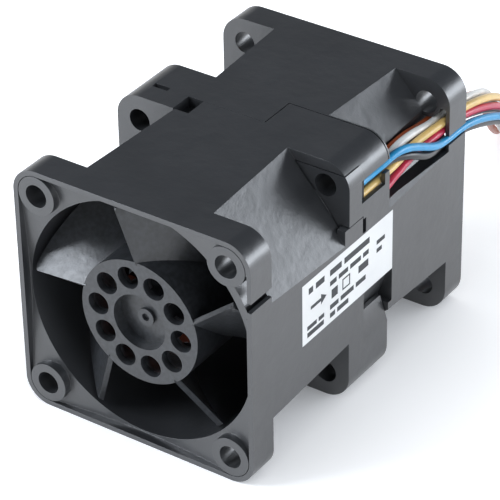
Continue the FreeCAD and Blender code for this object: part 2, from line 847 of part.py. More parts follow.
def board_leads(side):
    """The leads' ends between the board and the lead guide, side by side in the trough."""
    leads = []
    for k in range(int(size("board_lead_count"))):
        lead = doc.addObject("Part::Cylinder", "BoardLead")
        offset = f"({k} - (board_lead_count - 1) / 2) * board_lead_pitch"
        inner = "board_radius - 1.5"
        turned = Rotation(Vector(0, -1, 0), size("wire_strut_angle")) * Rotation(Vector(0, 1, 0), 90)
        lead.Placement = Placement(Vector(), turned)
        bind(lead, Radius="lead_diameter / 2", Height=f"{TUBE} + {MARGIN} - ({inner})")
        start, length = span(side, "base_floor", "base_floor + lead_diameter")
        bind(
            lead,
            x=f"({inner}) * cos(wire_strut_angle) - ({offset}) * sin(wire_strut_angle)",
            y=f"{start} + ({length}) / 2",
            z=f"{HALF} + ({inner}) * sin(wire_strut_angle) + ({offset}) * cos(wire_strut_angle)",
        )
        leads.append(common(lead, cylinder(MOUTH[side], start, length)))
    return group(*leads)


def bearing_tube(side):
    """The brass tube on the base that holds both ball bearings and the core."""
    return ring(side, "base_floor", f"{BOSS_END[side]} - spring_length", "core_bore", "bearing_radius")


def bearing_spans(side):
    """Near and far distance of each of the two bearings."""
    far = f"{BOSS_END[side]} - spring_length"
    return [("near_bearing", "near_bearing + bearing_width"), (f"{far} - bearing_width", far)]


def outer_races(side):
    """The outer rings of both bearings."""
    return group(
        *[ring(side, *ends, "bearing_radius", "bearing_radius - race_wall") for ends in bearing_spans(side)]
    )


def inner_races(side):
    """The inner rings of both bearings, tight on the shaft."""
    outer = "shaft_radius + race_wall"
    return group(*[ring(side, *ends, outer, "shaft_radius") for ends in bearing_spans(side)])


def balls(side):
    """The balls of both bearings."""
    made = []
    pitch = "(bearing_radius + shaft_radius) / 2"
    for near, far in bearing_spans(side):
        start, length = span(side, near, far)
        for k in range(int(size("ball_count"))):
            ball = doc.addObject("Part::Sphere", "Ball")
            bind(ball, Radius="(bearing_radius - shaft_radius) / 2 - race_wall - ball_play")
            bind(ball, y=f"{start} + ({length}) / 2", **at_angle(pitch, f"{k} * 360 / ball_count"))
            made.append(ball)
    return group(*made)


def shaft(side):
    """The steel shaft, pressed into the impeller's hub."""
    rod = cylinder("shaft_radius", *span(side, "shaft_start", f"{BOSS_END[side]} + boss_floor * 0.7"))
    near, far = "clip_start", "clip_start + clip_thickness"
    return cut(rod, ring(side, near, far, "shaft_radius + 1", "shaft_radius - clip_bite"))


def retaining_ring(side):
    """The clip in the shaft's groove."""
    near, far = "clip_start", "clip_start + clip_thickness"
    mouth = box(
        ("0", span(side, near, far)[0], f"{HALF} - 0.8"),
        ("clip_radius + 1", f"{span(side, near, far)[0]} + clip_thickness", f"{HALF} + 0.8"),
    )
    return cut(ring(side, near, far, "clip_radius", "shaft_radius - clip_bite"), mouth)


def preload_spring(side):
    """The short coil spring on the shaft between the hub and the far bearing."""
    start, length = span(side, f"{BOSS_END[side]} - spring_length", BOSS_END[side])
    helix = doc.addObject("Part::Feature", "Spring")
    wire_radius, play = size("spring_wire") / 2, size("spring_play")
    mean = size("shaft_radius") + play + wire_radius
    height = size("spring_length") - 2 * wire_radius
    path = Part.makeHelix(height / 2, height, mean)
    profile = Part.Wire(Part.makeCircle(wire_radius, Vector(mean, 0, 0), Vector(0, 1, 0)))
    helix.Shape = Part.Wire(path.Edges).makePipeShell([profile], True, True)
    helix.Placement = Placement(Vector(), ALONG_Y)
    bind(helix, x="0", y=f"{start} + spring_wire / 2", z=HALF)
    return helix


def lead_guide():
    """The rubber block in the corner that the board leads enter and the lead wires leave."""
    start, length = f"{SEAM} - guide_start", "guide_start + guide_end"
    block = box(
        ("frame_width / 2 - groove_edge", start, "frame_width - guide_low"),
        (f"{HALF} - lead_wall - guide_play", f"{start} + {length}", "frame_width - guide_top"),
    )
    return cut(
        block,
        cylinder(TUBE, start, "guide_start"),
        cylinder(f"{DUCT} + passage_wall", start, length),
        cylinder("lead_boss", start, length, HOLE, f"{HALF} + {HOLE}"),
        catch("latch_play"),
    )


# The lead wires. Each route is a list of points in millimetres: from the lead guide through the window,
# along the groove, through the rear flange, down to the floor and into its place in a connector.
LEAD_ROUTES = {
    "blue": [
        (18.73, 1.2, 34.7), (18.73, 3.2, 34.7), (19.25, 5.8, 35.3), (19.6, 8.8, 35.9),
        (19.8, 12.0, 35.3), (19.9, 15.6, 33.6), (19.95, 19.0, 31.8), (19.5, 22.4, 30.6),
        (19.5, 28.6, 30.6), (19.5, 35.0, 28.7), (19.3, 42.0, 25.3), (18.6, 50.0, 19.6),
        (17.6, 57.0, 12.9), (16.5, 63.5, 6.2), (15.3, 71.0, 1.2), (14.2, 80.0, 0.7),
        (13.5, 86.0, 2.2), (13.5, 92.0, 2.2),
    ],
    "black": [
        (17.4, 1.2, 33.25), (17.4, 3.8, 33.25), (17.95, 6.8, 33.65), (18.6, 9.8, 34.3),
        (19.7, 13.0, 33.5), (19.75, 16.6, 31.4), (19.2, 19.8, 30.1), (18.6, 22.8, 29.5),
        (18.65, 28.6, 29.35), (18.6, 35.0, 27.4), (18.2, 42.0, 24.2), (17.2, 50.0, 18.9),
        (15.9, 57.0, 12.5), (14.6, 63.5, 6.0), (13.2, 71.0, 1.2), (12.2, 80.0, 0.7),
        (11.5, 86.0, 2.2), (11.5, 92.0, 2.2),
    ],
    "yellow": [
        (18.65, 1.2, 32.6), (18.65, 3.8, 32.6), (18.6, 7.2, 32.65), (18.5, 11.0, 32.65),
        (18.25, 15.4, 33.2), (18.5, 19.8, 33.3), (18.7, 24.0, 33.15), (18.7, 28.6, 33.0),
        (18.4, 35.0, 31.4), (17.4, 42.0, 28.25), (15.2, 50.0, 22.0), (13.2, 57.0, 14.5),
        (11.4, 63.8, 7.0), (9.7, 71.4, 1.4), (8.3, 80.0, 0.7), (7.5, 86.0, 2.2),
        (7.5, 92.0, 2.2),
    ],
    "red": [
        (18.65, 1.2, 29.4), (18.65, 4.0, 29.4), (18.55, 7.8, 30.0), (18.45, 12.0, 31.0),
        (18.4, 16.4, 31.8), (18.65, 20.6, 31.9), (18.65, 24.4, 31.9), (18.65, 28.6, 31.75),
        (18.5, 35.0, 30.0), (17.9, 42.0, 26.7), (16.35, 50.0, 20.7), (14.6, 57.0, 13.6),
        (13.0, 63.6, 6.6), (11.4, 71.2, 1.3), (10.3, 80.0, 0.7), (9.5, 86.0, 2.2),
        (9.5, 92.0, 2.2),
    ],
    "grey": [
        (17.4, 1.2, 30.3), (17.4, 4.0, 30.3), (17.4, 7.2, 30.35), (17.3, 10.4, 30.7),
        (17.15, 13.6, 31.4), (17.2, 17.2, 31.2), (17.4, 21.0, 30.9), (17.4, 24.8, 30.8),
        (17.4, 28.6, 30.6), (17.2, 35.0, 28.85), (16.5, 42.0, 25.75), (14.2, 50.0, 20.2),
        (11.8, 57.0, 13.4), (9.6, 63.6, 6.6), (7.5, 71.2, 1.3), (5.2, 80.0, 0.7),
        (4.0, 86.0, 2.2), (4.0, 92.0, 2.2),
    ],
    "silver": [
        (18.65, 1.2, 31.0), (18.65, 3.8, 31.0), (18.2, 6.8, 31.4), (17.4, 9.8, 31.9),
        (17.05, 13.4, 32.75), (17.1, 17.4, 32.6), (17.4, 21.4, 32.1), (17.4, 25.0, 32.0),
        (17.4, 28.6, 31.85), (17.0, 35.0, 30.2), (15.8, 42.0, 27.0), (13.0, 50.0, 21.0),
        (10.2, 57.0, 14.0), (7.7, 63.8, 6.9), (5.4, 71.4, 1.4), (3.2, 80.0, 0.7),
        (2.0, 86.0, 2.2), (2.0, 92.0, 2.2),
    ],
    "white": [
        (17.4, 1.2, 32.0), (17.4, 4.2, 32.0), (17.3, 7.0, 32.5), (17.15, 9.8, 33.2),
        (17.1, 13.6, 34.1), (17.15, 17.8, 33.9), (17.4, 21.6, 33.3), (17.4, 25.0, 33.2),
        (17.4, 28.6, 33.1), (16.8, 35.0, 31.6), (15.2, 42.0, 28.4), (11.9, 50.0, 21.8),
        (8.8, 57.0, 14.5), (6.1, 64.0, 7.2), (3.6, 71.6, 1.5), (1.3, 80.0, 0.7),
        (0.0, 86.0, 2.2), (0.0, 92.0, 2.2),
    ],
    "brown": [
        (16.15, 1.2, 32.7), (16.15, 4.6, 32.7), (16.0, 8.6, 32.5), (15.95, 12.8, 33.2),
        (15.95, 17.2, 33.4), (16.1, 21.4, 32.8), (16.15, 25.0, 32.7), (16.15, 28.6, 32.55),
        (15.6, 35.0, 30.8), (13.7, 42.0, 27.5), (10.3, 50.0, 21.4), (7.1, 57.0, 14.2),
        (4.3, 63.8, 7.0), (1.6, 71.4, 1.4), (-0.8, 80.0, 0.7), (-2.0, 86.0, 2.2),
        (-2.0, 92.0, 2.2),
    ],
}
PLUG_FACE = 92.0
PLUG_CENTRES = {"front": 10.5, "rear": 1.0}
ARC_SHARE = 0.45


def lead_path(points):
    """Straight runs joined by tangent arcs, each as large as its two runs allow."""
    points = [Vector(*point) for point in points]
    edges, radii, last = [], [], points[0]
    for before, corner, after in zip(points, points[1:], points[2:]):
        inward, outward = (corner - before).normalize(), (after - corner).normalize()
        turn = inward.getAngle(outward)
        reach = ARC_SHARE * min((corner - before).Length, (after - corner).Length)
        radius = reach / math.tan(turn / 2)
        start, end = corner - inward * reach, corner + outward * reach
        bisector = (outward - inward).normalize()
        middle = corner + bisector * (radius / math.cos(turn / 2) - radius)
        edges += [Part.LineSegment(last, start).toShape(), Part.Arc(start, middle, end).toShape()]
        radii.append(radius)
        last = end
    edges.append(Part.LineSegment(last, points[-1]).toShape())
    return Part.Wire(edges), radii


def lead_wire(name):
    """The tube of one lead wire along its route."""
    path, radii = lead_path(LEAD_ROUTES[name])
    radius = size("lead_diameter") / 2
    start = Vector(*LEAD_ROUTES[name][0])
    heading = Vector(*LEAD_ROUTES[name][1]) - start
    section = Part.Wire(Part.makeCircle(radius, start, heading))
    tube = doc.addObject("Part::Feature", "LeadWire")
    tube.Shape = path.makePipeShell([section], True, False)
    tube.Placement = Placement()
    ideal = math.pi * radius**2 * path.Length
    share = tube.Shape.Volume / ideal
    print(f"{name}: {path.Length:.1f} mm, tightest arc {min(radii):.1f} mm, volume {share:.4f} of the ideal")
    return tube


def connector(side):
    """One connector housing on the floor, with a row of contact wells in its mating face."""
    centre = PLUG_CENTRES[side]
    half = "((connector_ways - 1) * connector_pitch / 2 + connector_side)"
    face, end = f"{PLUG_FACE}", f"{PLUG_FACE} + connector_length"
    housing = box((f"{centre} - {half}", face, "0"), (f"{centre} + {half}", end, "connector_height"))
    wells, ribs = [], []
    for k in range(int(size("connector_ways"))):
        middle = f"{centre} + ({k} - (connector_ways - 1) / 2) * connector_pitch"
        well = "connector_well / 2"
        wells.append(
            box(
                (f"{middle} - {well}", f"{end} - connector_depth", f"connector_height / 2 - {well}"),
                (f"{middle} + {well}", f"{end} + 1", f"connector_height / 2 + {well}"),
            )
        )
        wells.append(
            box(
                (f"{middle} - {well} * 0.6", f"{face} + connector_length * 0.3", "connector_height - 0.8"),
                (f"{middle} + {well} * 0.6", f"{face} + connector_length * 0.55", "connector_height + 1"),
            )
        )
    start, stop = f"{face} + connector_length * 0.62", f"{face} + connector_length * 0.95"
    for way in (-1, 1):
        middle = f"{centre} + {way} * connector_pitch * 1.5"
        low = (f"{middle} - rib_width / 2", start, "connector_height / 2")
        ribs.append(box(low, (f"{middle} + rib_width / 2", stop, "connector_height + rib_height")))
    return cut(fuse(housing, *ribs), *wells)


SIDES = ("front", "rear")
MOTOR_PIECES = {
    "impeller": impeller,
    "yoke": yoke,
    "magnet": magnet,
    "stator_core": stator_core,
    "insulators": insulators,
    "windings": windings,
    "circuit_board": circuit_board,
    "board_parts": board_parts,
    "board_leads": board_leads,
    "bearing_tube": bearing_tube,
    "outer_races": outer_races,
    "inner_races": inner_races,
    "balls": balls,
    "shaft": shaft,
    "retaining_ring": retaining_ring,
    "preload_spring": preload_spring,
}
nodes = {
    "front_frame": front_frame(),
    "rear_frame": rear_frame(),
    "label": label(),
    "lead_guide": lead_guide(),
}
for side in SIDES:
    for piece, make in MOTOR_PIECES.items():
        nodes[f"{side}_{piece}"] = make(side)
    nodes[f"{side}_connector"] = connector(side)
for name in LEAD_ROUTES:
    nodes[f"lead_{name}"] = lead_wire(name)

for name, node in nodes.items():
    node.Label = name
doc.recompute()

os.makedirs("parts", exist_ok=True)
faults = [item.Label for item in doc.Objects if {"Invalid", "Error"} & set(item.State)]
for name, node in nodes.items():
    if node.Shape.isNull() or not node.Shape.isValid():
        faults.append(name)
if faults:
    raise RuntimeError(f"these did not build: {faults}")
for name, node in nodes.items():
    print(name, len(node.Shape.Solids), round(node.Shape.Volume, 2))
    node.Shape.exportStep(f"parts/{name}.step")
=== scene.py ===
"""Visual model of a 40 mm server fan: two latched halves with their impellers, and eight lead wires.

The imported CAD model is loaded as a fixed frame. Its visible parts are copied, given small moulded
edges and procedural materials, and the lead wires are smooth curves on the CAD routes. All lengths
are in metres unless a name ends in _mm.
"""

import json
import logging
import math
from dataclasses import dataclass
from enum import Enum
from typing import Any, Sequence

import bpy
from mathutils import Matrix, Vector

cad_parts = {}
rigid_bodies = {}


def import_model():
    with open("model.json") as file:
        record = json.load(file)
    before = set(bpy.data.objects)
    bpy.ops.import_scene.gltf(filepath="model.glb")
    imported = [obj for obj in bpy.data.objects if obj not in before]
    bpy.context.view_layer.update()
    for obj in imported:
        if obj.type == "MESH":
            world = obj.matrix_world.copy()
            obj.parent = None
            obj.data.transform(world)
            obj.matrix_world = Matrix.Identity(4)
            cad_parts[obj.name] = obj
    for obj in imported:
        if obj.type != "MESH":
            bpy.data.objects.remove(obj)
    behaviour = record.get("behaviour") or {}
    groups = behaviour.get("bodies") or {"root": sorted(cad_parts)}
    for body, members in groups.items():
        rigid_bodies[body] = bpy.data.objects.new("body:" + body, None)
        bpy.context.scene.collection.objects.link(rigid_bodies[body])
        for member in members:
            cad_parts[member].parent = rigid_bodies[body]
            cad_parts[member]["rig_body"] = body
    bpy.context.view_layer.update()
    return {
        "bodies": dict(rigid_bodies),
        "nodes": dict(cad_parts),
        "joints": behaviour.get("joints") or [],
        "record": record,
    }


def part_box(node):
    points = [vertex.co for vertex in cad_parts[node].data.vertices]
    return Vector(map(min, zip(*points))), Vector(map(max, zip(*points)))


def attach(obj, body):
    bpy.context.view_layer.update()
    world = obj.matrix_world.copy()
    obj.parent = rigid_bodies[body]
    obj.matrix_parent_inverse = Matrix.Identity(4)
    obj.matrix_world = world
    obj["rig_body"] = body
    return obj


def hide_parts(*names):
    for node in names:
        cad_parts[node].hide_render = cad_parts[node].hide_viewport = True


LOG = logging.getLogger("fan")
MM = 0.001
# Where a mix node's colour sockets stand among its inputs and outputs.
MIX_FACTOR, MIX_FIRST, MIX_SECOND, MIX_RESULT = 0, 6, 7, 2

Colour = tuple[float, float, float, float]
Pieces = list[bpy.types.Object]


def linear(code: str) -> Colour:
    """Turn an sRGB colour into the linear values that a shader takes.

    Args:
        code: Six hexadecimal digits, with or without a leading hash.

    Returns:
        Linear red, green and blue, and an alpha of one.
    """
    digits = code.lstrip("#")
    shares = [int(digits[k : k + 2], 16) / 255 for k in (0, 2, 4)]
    red, green, blue = (c / 12.92 if c <= 0.04045 else ((c + 0.055) / 1.055) ** 2.4 for c in shares)
    return red, green, blue, 1.0


def per_mm(period_mm: float) -> float:
    """Turn the real size of a pattern's features into the scale of its texture.

    Args:
        period_mm: Size of the features in millimetres.

    Returns:
        The scale on coordinates in metres.
    """
    return 1 / (period_mm * MM)


def select_only(piece: bpy.types.Object) -> None:
    """Deselect everything and make one object the active, selected one.

    Args:
        piece: The object.
    """
    bpy.ops.object.select_all(action="DESELECT")
    piece.select_set(True)
    bpy.context.view_layer.objects.active = piece


def dress(piece: bpy.types.Object, material: bpy.types.Material) -> None:
    """Give an object one material on all its faces.

    Args:
        piece: The object.
        material: Its finish.
    """
    piece.data.materials.clear()
    piece.data.materials.append(material)


@dataclass(frozen=True)
class CameraFit:
    """The photograph's camera, as fitted to the corners and holes of the fan."""

    azimuth_deg: float = 34.877
    elevation_deg: float = 33.701
    roll_deg: float = 1.015
    shift_right_mm: float = -0.442
    shift_up_mm: float = 2.269
    distance_mm: float = 415.844
    focal_px: float = 2853.389
    image_px: int = 500
    sensor_mm: float = 36.0
    target_mm: tuple[float, float, float] = (0.0, 0.0, 20.0)
    nearest: float = 0.01
    furthest: float = 20.0

    def place(self) -> bpy.types.Object:
        """Create the camera and make it the scene's.

        Returns:
            The camera object.
        """
        az, el, roll = (math.radians(a) for a in (self.azimuth_deg, self.elevation_deg, self.roll_deg))
        back = Vector((math.sin(az) * math.cos(el), -math.cos(az) * math.cos(el), math.sin(el)))
        right = Vector((math.cos(az), math.sin(az), 0.0))
        up = back.cross(right)
        axes = (
            right * math.cos(roll) - up * math.sin(roll),
            right * math.sin(roll) + up * math.cos(roll),
            back,
        )
        offset = (self.shift_right_mm, self.shift_up_mm, -self.distance_mm)
        eye = Vector(self.target_mm) - sum((axis * step for axis, step in zip(axes, offset)), Vector())
        data = bpy.data.cameras.new("PhotoCamera")
        data.sensor_width = self.sensor_mm
        data.lens = self.focal_px * self.sensor_mm / self.image_px
        data.clip_start, data.clip_end = self.nearest, self.furthest
        camera = bpy.data.objects.new("PhotoCamera", data)
        bpy.context.scene.collection.objects.link(camera)
        rotation = Matrix(axes).transposed().to_4x4()
        camera.matrix_world = Matrix.Translation(eye * MM) @ rotation
        bpy.context.scene.camera = camera
        return camera


class Graph:
    """Adds and links the nodes of one material or of the room."""

    def __init__(self, owner: bpy.types.Material | bpy.types.World, surface: str) -> None:
        """Open the node tree.

        Args:
            owner: The material or world.
            surface: The name of its surface node.
        """
        owner.use_nodes = True
        self.owner = owner
        self.tree = owner.node_tree
        self.surface = self.tree.nodes[surface]
        self.coords = self.add("TexCoord").outputs

    @classmethod
    def of_material(cls, name: str) -> "Graph":
        """Start a material with a surface shader and its output.

        Args:
            name: The name of the finish.

        Returns:
            Its graph.
        """
        return cls(bpy.data.materials.new(name), "Principled BSDF")

    def add(
        self,
        kind: str,
        inputs: dict[str | int, Any] | None = None,
        stops: Sequence[tuple[float, Colour]] = (),
        **settings: Any,
    ) -> bpy.types.Node:
        """Add a node with its settings and links.

        Args:
            kind: The node's type name without the leading ShaderNode.
            inputs: Values or output sockets for its inputs, by name or number.
            stops: Positions and linear colours of a colour ramp's two ends.
            settings: Properties of the node itself.

        Returns:
            The new node.
        """
        node = self.tree.nodes.new(f"ShaderNode{kind}")
        for key, value in settings.items():
            setattr(node, key, value)
        self.feed(node, inputs or {})
        if stops:
            for end, (position, colour) in zip(node.color_ramp.elements, stops):
                end.position, end.color = position, colour
        return node

    def feed(self, node: bpy.types.Node, inputs: dict[str | int, Any]) -> None:
        """Give a node's inputs their values or links.

        Args:
            node: The node.
            inputs: Values or output sockets, by the input's name or number.
        """
        for key, value in inputs.items():
            if isinstance(value, bpy.types.NodeSocket):
                self.tree.links.new(value, node.inputs[key])
            else:
                node.inputs[key].default_value = value


@dataclass(frozen=True)
class MouldedPlastic:
    """Smooth plastic, rubber or film: cloudy colour, uneven gloss and a fine grain.

    A tool's spark grain is about 0.05 mm wide and wouldn't show, so it is drawn a few times coarser.
    """

    name: str
    dark: str
    light: str
    rough: tuple[float, float]
    grain_mm: float
    depth_mm: float
    cloud_mm: float = 9.0
    cloud_ends: tuple[float, float] = (0.3, 0.7)
    cloud_layers: float = 5.0
    gloss_share: float = 0.25
    gloss_layers: float = 4.0
    grain_layers: float = 2.0

    def make(self) -> bpy.types.Material:
        """Make the material.

        Returns:
            The material.
        """
        graph = Graph.of_material(self.name)
        place = graph.coords["Object"]
        scale = {"Scale": per_mm(self.cloud_mm), "Detail": self.cloud_layers}
        cloud = graph.add("TexNoise", {"Vector": place, **scale})
        scale = {"Scale": per_mm(self.cloud_mm * self.gloss_share), "Detail": self.gloss_layers}
        sheen = graph.add("TexNoise", {"Vector": place, **scale})
        scale = {"Scale": per_mm(self.grain_mm), "Detail": self.grain_layers}
        grain = graph.add("TexNoise", {"Vector": place, **scale})
        ends = list(zip(self.cloud_ends, (linear(self.dark), linear(self.light))))
        tone = graph.add("ValToRGB", {"Fac": cloud.outputs["Fac"]}, ends)
        low, high = self.rough
        gloss = graph.add("MapRange", {"Value": sheen.outputs["Fac"], "To Min": low, "To Max": high})
        height = {"Height": grain.outputs["Fac"], "Distance": self.depth_mm * MM, "Strength": 1.0}
        bump = graph.add("Bump", height)
        look = {
            "Base Color": tone.outputs["Color"],
            "Roughness": gloss.outputs["Result"],
            "Normal": bump.outputs["Normal"],
        }
        graph.feed(graph.surface, look)
        return graph.owner


@dataclass(frozen=True)
class FilledPlastic:
    """Glass-filled plastic: mottled, with a fine grain over shallow sinks, and flecks where fibres show.

    The fibres are about 0.01 mm thick and wouldn't show, so flecks and grain are drawn as coarse as they
    need to show.
    """

    name: str
    dark: str
    light: str
    rough: tuple[float, float]
    specular: float
    cloud_mm: float
    cloud_ends: tuple[float, float]
    gloss_mm: float
    gloss_layers: float
    grain_mm: float
    grain_layers: float
    sink_mm: float
    cloud_layers: float = 5.0
    sink_layers: float = 5.0
    fleck: str | None = None
    fleck_ends: tuple[float, float] = (0.62, 0.78)
    fibre_mm: float = 0.35
    fibre_layers: float = 2.0
    fibre_stretch: tuple[float, float, float] = (1.0, 0.3, 1.0)
    grain_depth_mm: float = 0.006
    sink_depth_mm: float = 0.05
    ior: float = 1.57

    def make(self) -> bpy.types.Material:
        """Make the material.

        Returns:
            The material.
        """
        graph = Graph.of_material(self.name)
        place = graph.coords["Object"]
        scale = {"Scale": per_mm(self.cloud_mm), "Detail": self.cloud_layers}
        cloud = graph.add("TexNoise", {"Vector": place, **scale})
        ends = list(zip(self.cloud_ends, (linear(self.dark), linear(self.light))))
        tone = graph.add("ValToRGB", {"Fac": cloud.outputs["Fac"]}, ends).outputs["Color"]
        if self.fleck:
            tone = self._flecked(graph, tone)
        scale = {"Scale": per_mm(self.gloss_mm), "Detail": self.gloss_layers}
        sheen = graph.add("TexNoise", {"Vector": place, **scale})
        low, high = self.rough
        gloss = graph.add("MapRange", {"Value": sheen.outputs["Fac"], "To Min": low, "To Max": high})
        look = {
            "Base Color": tone,
            "Roughness": gloss.outputs["Result"],
            "Normal": self._relief(graph),
            "IOR": self.ior,
            "Specular IOR Level": self.specular,
        }
        graph.feed(graph.surface, look)
        return graph.owner

    def _flecked(self, graph: Graph, tone: bpy.types.NodeSocket) -> bpy.types.NodeSocket:
        """Add pale flecks to a colour, drawn out along the airflow, as the plastic flowed in the mould.

        Args:
            graph: The material's graph.
            tone: The colour without them.

        Returns:
            The colour with them.
        """
        across = graph.add("Mapping", {"Vector": graph.coords["Object"], "Scale": self.fibre_stretch})
        scale = {"Scale": per_mm(self.fibre_mm), "Detail": self.fibre_layers}
        fibre = graph.add("TexNoise", {"Vector": across.outputs[0], **scale})
        ends = list(zip(self.fleck_ends, (linear("#000000"), linear(self.fleck))))
        fleck = graph.add("ValToRGB", {"Fac": fibre.outputs["Fac"]}, ends)
        colours = {MIX_FACTOR: 1.0, MIX_FIRST: tone, MIX_SECOND: fleck.outputs["Color"]}
        return graph.add("Mix", colours, data_type="RGBA", blend_type="ADD").outputs[MIX_RESULT]

    def _relief(self, graph: Graph) -> bpy.types.NodeSocket:
        """Lay the fine grain over the shallow sinks.

        Args:
            graph: The material's graph.

        Returns:
            The normal's socket.
        """
        normal: dict[str, bpy.types.NodeSocket] = {}
        for period_mm, layers, depth_mm in (
            (self.grain_mm, self.grain_layers, self.grain_depth_mm),
            (self.sink_mm, self.sink_layers, self.sink_depth_mm),
        ):
            scale = {"Scale": per_mm(period_mm), "Detail": layers}
            height = graph.add("TexNoise", {"Vector": graph.coords["Object"], **scale}).outputs["Fac"]
            inputs = {"Height": height, "Distance": depth_mm * MM, "Strength": 1.0, **normal}
            normal = {"Normal": graph.add("Bump", inputs).outputs["Normal"]}
        return normal["Normal"]


@dataclass(frozen=True)
class WorkedMetal:
    """A metal with fine tool lines across the airflow's axis.

    Tool lines are about 0.03 mm apart and wouldn't show, so they are drawn a few times coarser.
    """

    name: str
    tone: str
    rough: tuple[float, float]
    lines_mm: float
    lines_layers: float = 2.0
    depth_mm: float = 0.004
    stretch: tuple[float, float, float] = (0.15, 1.0, 0.15)

    def make(self) -> bpy.types.Material:
        """Make the material.

        Returns:
            The material.
        """
        graph = Graph.of_material(self.name)
        around = graph.add("Mapping", {"Vector": graph.coords["Object"], "Scale": self.stretch})
        scale = {"Scale": per_mm(self.lines_mm), "Detail": self.lines_layers}
        lines = graph.add("TexNoise", {"Vector": around.outputs[0], **scale}).outputs["Fac"]
        low, high = self.rough
        gloss = graph.add("MapRange", {"Value": lines, "To Min": low, "To Max": high})
        bump = graph.add("Bump", {"Height": lines, "Distance": self.depth_mm * MM, "Strength": 1.0})
        look = {
            "Base Color": linear(self.tone),
            "Metallic": 1.0,
            "Roughness": gloss.outputs["Result"],
            "Normal": bump.outputs["Normal"],
        }
        graph.feed(graph.surface, look)
        return graph.owner


@dataclass(frozen=True)
class WireInsulation:
    """Smooth extruded insulation with a thin gloss, a little darker where hands have worn it."""

    name: str
    colour: str
    worn_share: float = 0.86
    rough: tuple[float, float] = (0.26, 0.4)
    wear_mm: float = 2.2
    wear_layers: float = 4.0
    wear_ends: tuple[float, float] = (0.35, 0.6)
    gloss_mm: float = 1.4
    gloss_layers: float = 3.0
    grain_mm: float = 0.5
    grain_layers: float = 2.0
    depth_mm: float = 0.004
    coat: float = 0.1
    coat_roughness: float = 0.25

    def make(self) -> bpy.types.Material:
        """Make the material.

        Returns:
            The material.
        """
        graph = Graph.of_material(self.name)
        place = graph.coords["Object"]
        red, green, blue, alpha = linear(self.colour)
        worn = (red * self.worn_share, green * self.worn_share, blue * self.worn_share, alpha)
        scale = {"Scale": per_mm(self.wear_mm), "Detail": self.wear_layers}
        wear = graph.add("TexNoise", {"Vector": place, **scale})
        scale = {"Scale": per_mm(self.gloss_mm), "Detail": self.gloss_layers}
        sheen = graph.add("TexNoise", {"Vector": place, **scale})
        scale = {"Scale": per_mm(self.grain_mm), "Detail": self.grain_layers}
        grain = graph.add("TexNoise", {"Vector": place, **scale})
        ends = list(zip(self.wear_ends, (worn, (red, green, blue, alpha))))
        tone = graph.add("ValToRGB", {"Fac": wear.outputs["Fac"]}, ends)
        low, high = self.rough
        gloss = graph.add("MapRange", {"Value": sheen.outputs["Fac"], "To Min": low, "To Max": high})
        height = {"Height": grain.outputs["Fac"], "Distance": self.depth_mm * MM, "Strength": 1.0}
        bump = graph.add("Bump", height)
        look = {
            "Base Color": tone.outputs["Color"],
            "Roughness": gloss.outputs["Result"],
            "Normal": bump.outputs["Normal"],
            "Coat Weight": self.coat,
            "Coat Roughness": self.coat_roughness,
        }
        graph.feed(graph.surface, look)
        return graph.owner


@dataclass(frozen=True)
class StudioPaper:
    """White paper that stays white to the camera and in reflections, and keeps the fan's real shadow in its
    lit part; its glow is darkened near the fan as a painted contact shadow.
    """

    name: str = "white_studio_paper"
    dark: str = "#F4F5F6"
    light: str = "#F7F7F8"
    cloud_mm: float = 30.0
    cloud_ends: tuple[float, float] = (0.3, 0.7)
    cloud_layers: float = 3.0
    roughness: float = 0.9
    specular: float = 0.1
    glow: float = 0.75
    shade_reach: float = 0.03
    shade_samples: int = 4

    def make(self) -> bpy.types.Material:
        """Make the material.

        Returns:
            The material.
        """
        graph = Graph.of_material(self.name)
        scale = {"Scale": per_mm(self.cloud_mm), "Detail": self.cloud_layers}
        cloud = graph.add("TexNoise", {"Vector": graph.coords["Object"], **scale})
        ends = list(zip(self.cloud_ends, (linear(self.dark), linear(self.light))))
        tone = graph.add("ValToRGB", {"Fac": cloud.outputs["Fac"]}, ends)
        # Ambient occlusion darkens the glow near the fan: a painted contact shadow on the paper, seen
        # directly and in reflections.
        reach = {"Distance": self.shade_reach}
        painted_contact_shade = graph.add("AmbientOcclusion", reach, samples=self.shade_samples)
        painted_shade_glow = graph.add("Math", {0: painted_contact_shade.outputs["AO"], 1: self.glow}, operation="MULTIPLY")
        strength = graph.add("Math", {0: self._seen(graph), 1: painted_shade_glow.outputs[0]}, operation="MULTIPLY")
        look = {
            "Base Color": tone.outputs["Color"],
            "Roughness": self.roughness,
            "Specular IOR Level": self.specular,
            "Emission Color": linear("#FFFFFF"),
            "Emission Strength": strength.outputs[0],
        }
        graph.feed(graph.surface, look)
        return graph.owner

    @staticmethod
    def _seen(graph: Graph) -> bpy.types.NodeSocket:
        """Add a value that is one for camera, glossy and transmission rays.

        Args:
            graph: The graph to add it to.

        Returns:
            The value's socket.
        """
        path = graph.add("LightPath").outputs
        glossy = graph.add("Math", {0: path["Is Camera Ray"], 1: path["Is Glossy Ray"]}, operation="MAXIMUM")
        both = {0: glossy.outputs[0], 1: path["Is Transmission Ray"]}
        return graph.add("Math", both, operation="MAXIMUM").outputs[0]


